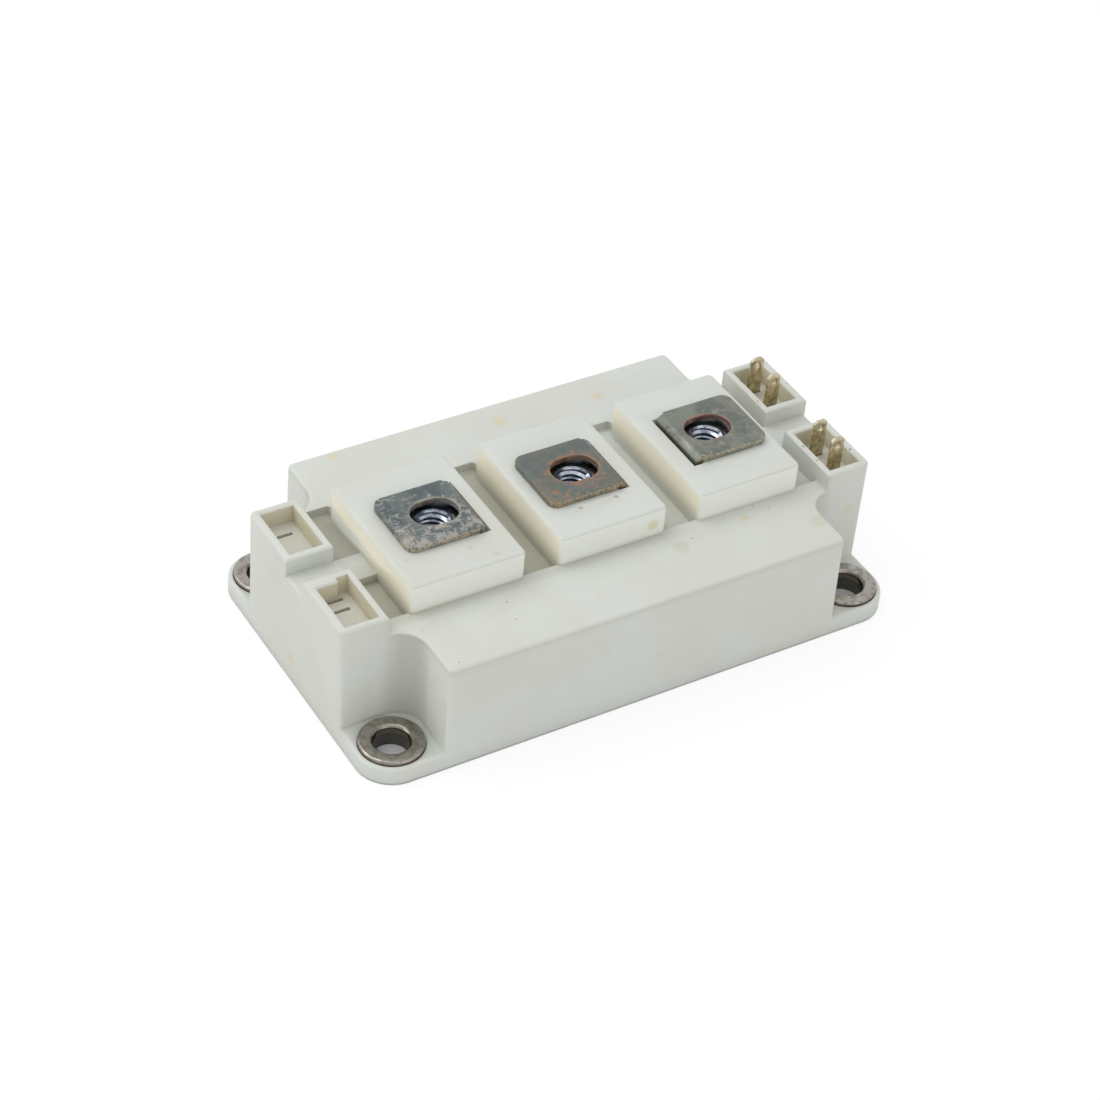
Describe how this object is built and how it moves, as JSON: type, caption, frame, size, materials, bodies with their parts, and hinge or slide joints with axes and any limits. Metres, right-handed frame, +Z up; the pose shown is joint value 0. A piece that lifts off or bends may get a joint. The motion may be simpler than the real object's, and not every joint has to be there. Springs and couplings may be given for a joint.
{
  "type": "igbt module",
  "caption": "Half-bridge power semiconductor module: moulded housing on a metal baseplate with screw terminals on raised platforms and flat control tabs.",
  "frame": {"origin": "bottom centre of the bounding box, on the underside of the baseplate", "axes": "+X along the length towards the end with the control tabs, +Y across towards the back, +Z up away from the heat sink"},
  "size_m": [0.1064, 0.0614, 0.0294],
  "materials": {
    "housing": "moulded, off-white, stained in places",
    "baseplate": "nickel-plated copper",
    "bush": "turned, plated",
    "terminal": "tin-plated copper, tarnished dark with rusty patches",
    "nut": "zinc-plated steel",
    "tab": "plated bronze, dulled",
    "lead": "tinned copper wire",
    "copper": "bare copper",
    "ceramic": "white alumina",
    "chip": "metallised silicon",
    "wire": "aluminium bond wire"
  },
  "bodies": {
    "root": {"housing": "housing", "baseplate": "baseplate", "bush_front_left": "bush", "bush_front_right": "bush", "bush_back_left": "bush", "bush_back_right": "bush", "terminal_left": "terminal", "terminal_middle": "terminal", "terminal_right": "terminal", "nut_left": "nut", "nut_middle": "nut", "nut_right": "nut", "tab_back_outer": "tab", "tab_back_inner": "tab", "tab_front_inner": "tab", "tab_front_outer": "tab", "lead_back_outer": "lead", "lead_back_inner": "lead", "lead_front_inner": "lead", "lead_front_outer": "lead", "copper_base_left": "copper", "copper_base_right": "copper", "ceramic_left": "ceramic", "ceramic_right": "ceramic", "copper_tracks_left": "copper", "copper_tracks_right": "copper", "igbt_front_left": "chip", "igbt_front_right": "chip", "igbt_back_left": "chip", "igbt_back_right": "chip", "diode_front_left": "chip", "diode_front_right": "chip", "diode_back_left": "chip", "diode_back_right": "chip", "bond_wires_left": "wire", "bond_wires_right": "wire"}
  },
  "joints": []
}
